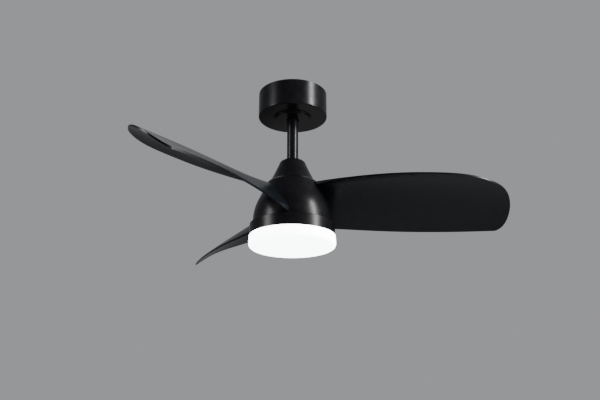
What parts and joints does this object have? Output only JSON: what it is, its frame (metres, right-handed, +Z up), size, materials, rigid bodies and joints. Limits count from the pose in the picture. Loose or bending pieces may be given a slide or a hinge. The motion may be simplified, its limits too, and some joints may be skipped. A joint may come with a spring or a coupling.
{
  "type": "ceiling fan with light",
  "caption": "Black ceiling fan with swept blades on a domed hub, hung from a drum canopy by a short rod, with a round opal light below.",
  "frame": {"origin": "on the ceiling plane, on the fan's vertical axis, at the middle of the bracket's screw slots", "axes": "+Z up into the ceiling, +X along the bracket's two screw slots, the fan hangs in -Z"},
  "size_m": [0.803, 0.8945, 0.3895],
  "materials": {
    "black_metal": "satin black powder coat",
    "black_plastic": "satin black moulded plastic",
    "blade_plastic": "semi-gloss black moulded plastic",
    "opal_plastic": "opal white, lit from inside",
    "zinc_steel": "zinc plated",
    "bearing_steel": "ground and polished",
    "nylon": "glass-filled nylon",
    "white_plastic": "moulded",
    "cable_sheath": "pvc sheath",
    "cast_metal": "die cast",
    "laminated_steel": "laminated electrical steel",
    "copper_wire": "enamelled copper wire",
    "ferrite": "sintered ferrite",
    "circuit_board": "white solder mask",
    "led_phosphor": "phosphor"
  },
  "bodies": {
    "ceiling_side": {"mounting_bracket": "zinc_steel", "earth_screw": "zinc_steel", "terminal_block": "nylon", "terminal_screws": "zinc_steel", "receiver_box": "white_plastic", "supply_lead": "cable_sheath", "canopy": "black_metal", "canopy_screws": "zinc_steel", "canopy_ring": "black_plastic"},
    "hanging_side": {"hanger_ball": "nylon", "ball_pin": "zinc_steel", "downrod": "black_metal", "coupling": "cast_metal", "coupling_bolt": "zinc_steel", "coupling_nut": "zinc_steel", "coupling_grub_screws": "zinc_steel", "coupling_cover": "black_metal", "motor_shaft": "zinc_steel", "shaft_circlip": "zinc_steel", "upper_bearing_inner_race": "bearing_steel", "lower_bearing_inner_race": "bearing_steel", "stator_spool": "cast_metal", "stator_core": "laminated_steel", "stator_windings": "copper_wire", "fan_lead": "cable_sheath", "light_plate": "zinc_steel", "light_ring": "black_metal", "light_screws": "zinc_steel", "shaft_nut": "zinc_steel", "led_driver": "white_plastic", "led_tray": "cast_metal", "led_board": "circuit_board", "led_chips": "led_phosphor", "board_screws": "zinc_steel"},
    "rotor": {"rotor_bell": "cast_metal", "magnets": "ferrite", "blade_carrier": "cast_metal", "carrier_screws": "zinc_steel", "hub_screws": "zinc_steel", "blade_screws": "zinc_steel", "hub_shell": "black_plastic", "blade_1": "blade_plastic", "blade_2": "blade_plastic", "blade_3": "blade_plastic", "upper_bearing_outer_race": "bearing_steel", "lower_bearing_outer_race": "bearing_steel", "upper_bearing_balls": "bearing_steel", "lower_bearing_balls": "bearing_steel"},
    "diffuser": {"diffuser": "opal_plastic"}
  },
  "joints": [
    {"name": "rod_swing", "type": "hinge", "parent": "ceiling_side", "child": "hanging_side", "pos_m": [0, 0, -0.03], "axis": [0, 1, 0], "range_deg": [-2, 2]},
    {"name": "rotor_spin", "type": "hinge", "parent": "hanging_side", "child": "rotor", "pos_m": [0, 0, -0.285], "axis": [0, 0, 1], "continuous": true},
    {"name": "diffuser_twist", "type": "hinge", "parent": "hanging_side", "child": "diffuser", "pos_m": [0, 0, -0.3625], "axis": [0, 0, 1], "range_deg": [0, 20]}
  ]
}
